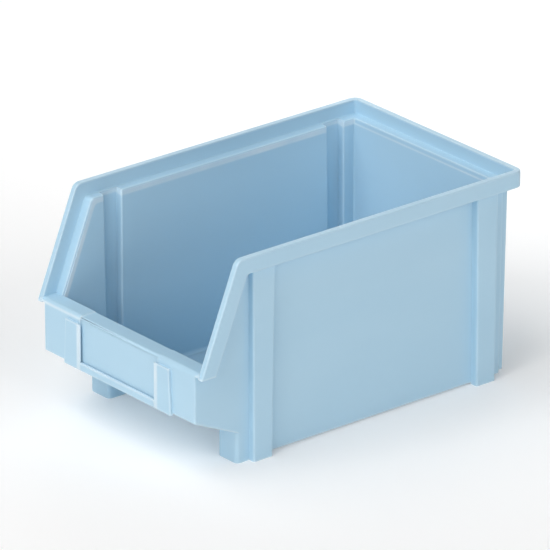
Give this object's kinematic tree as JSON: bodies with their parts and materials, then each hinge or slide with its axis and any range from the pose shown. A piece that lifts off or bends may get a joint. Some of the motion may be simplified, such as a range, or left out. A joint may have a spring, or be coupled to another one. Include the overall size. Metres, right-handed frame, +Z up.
{
  "type": "stackable storage bin",
  "caption": "Open-fronted stacking bin for small parts, with a stepped stacking rim, hollow side pilasters, a sloped nose and a label holder on its low front wall.",
  "frame": {"origin": "on the surface the bin stands on, under the middle of its outer box", "axes": "+Z up, -Y towards the open front, +X to the right seen from the front"},
  "size_m": [0.148, 0.2366, 0.127],
  "materials": {
    "bin_plastic": "light blue moulded polypropylene, fine matt texture outside, smoother on the rim"
  },
  "bodies": {
    "root": {"back_wall": "bin_plastic", "floor_panel": "bin_plastic", "foot_front_left": "bin_plastic", "foot_front_right": "bin_plastic", "front_flange_center": "bin_plastic", "front_flange_left": "bin_plastic", "front_flange_right": "bin_plastic", "front_wall": "bin_plastic", "label_lip": "bin_plastic", "label_rail_left": "bin_plastic", "label_rail_right": "bin_plastic", "nose_ramp": "bin_plastic", "pilaster_left_front": "bin_plastic", "pilaster_left_rear": "bin_plastic", "pilaster_right_front": "bin_plastic", "pilaster_right_rear": "bin_plastic", "rear_rib_left": "bin_plastic", "rear_rib_right": "bin_plastic", "rim_back": "bin_plastic", "rim_corner_left": "bin_plastic", "rim_corner_right": "bin_plastic", "rim_left": "bin_plastic", "rim_right": "bin_plastic", "rim_slope_left": "bin_plastic", "rim_slope_right": "bin_plastic", "side_wall_left_front": "bin_plastic", "side_wall_left_middle": "bin_plastic", "side_wall_left_rear": "bin_plastic", "side_wall_right_front": "bin_plastic", "side_wall_right_middle": "bin_plastic", "side_wall_right_rear": "bin_plastic"}
  },
  "joints": []
}
